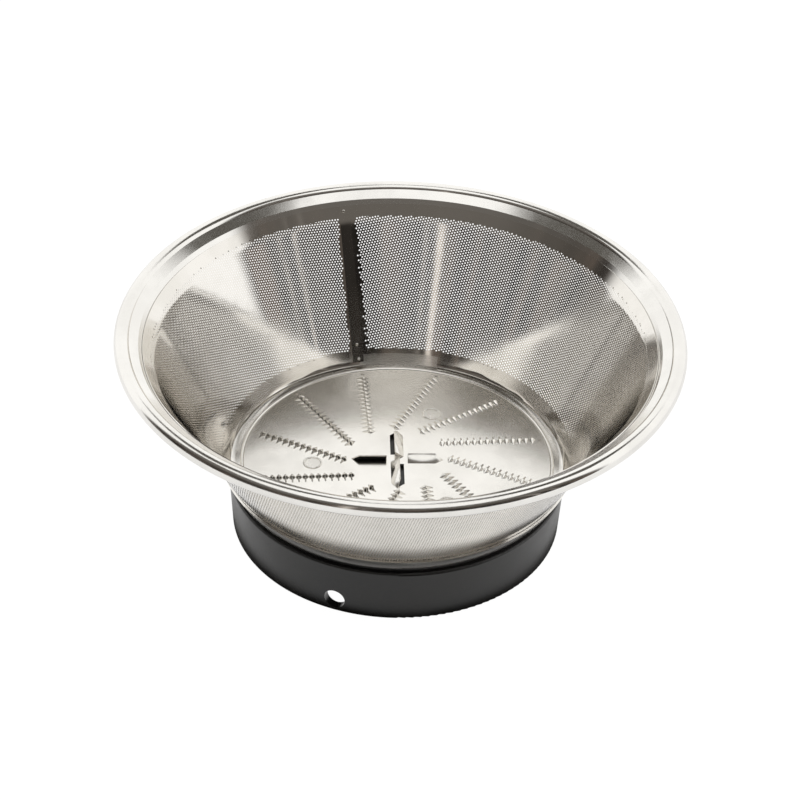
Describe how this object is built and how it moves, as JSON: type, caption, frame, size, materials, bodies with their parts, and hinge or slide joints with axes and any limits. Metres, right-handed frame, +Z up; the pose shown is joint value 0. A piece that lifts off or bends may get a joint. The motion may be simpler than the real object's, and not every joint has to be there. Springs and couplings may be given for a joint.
{
  "type": "juicer mesh screen",
  "caption": "Conical steel mesh basket for a centrifugal juicer, with a rolled rim, a toothed grater disc as its floor and a black moulded drive base.",
  "frame": {"origin": "centre of the drive base's bottom edge, on the spin axis", "axes": "+Z up along the spin axis, +Y away from the viewer of the picture, +X to the viewer's right"},
  "size_m": [0.17, 0.17, 0.0692],
  "materials": {
    "rim_steel": "polished stainless steel",
    "screen_steel": "etched and polished stainless steel sheet",
    "cup_steel": "polished stainless steel",
    "disc_steel": "satin stainless steel",
    "rivet_steel": "satin stainless steel",
    "base_plastic": "satin black moulded plastic"
  },
  "bodies": {
    "root": {"rim_ring": "rim_steel", "sieve_screen": "screen_steel", "base_cup": "cup_steel", "grater_disc": "disc_steel", "disc_rivets": "rivet_steel", "drive_base": "base_plastic", "drive_hub": "base_plastic"}
  },
  "joints": []
}
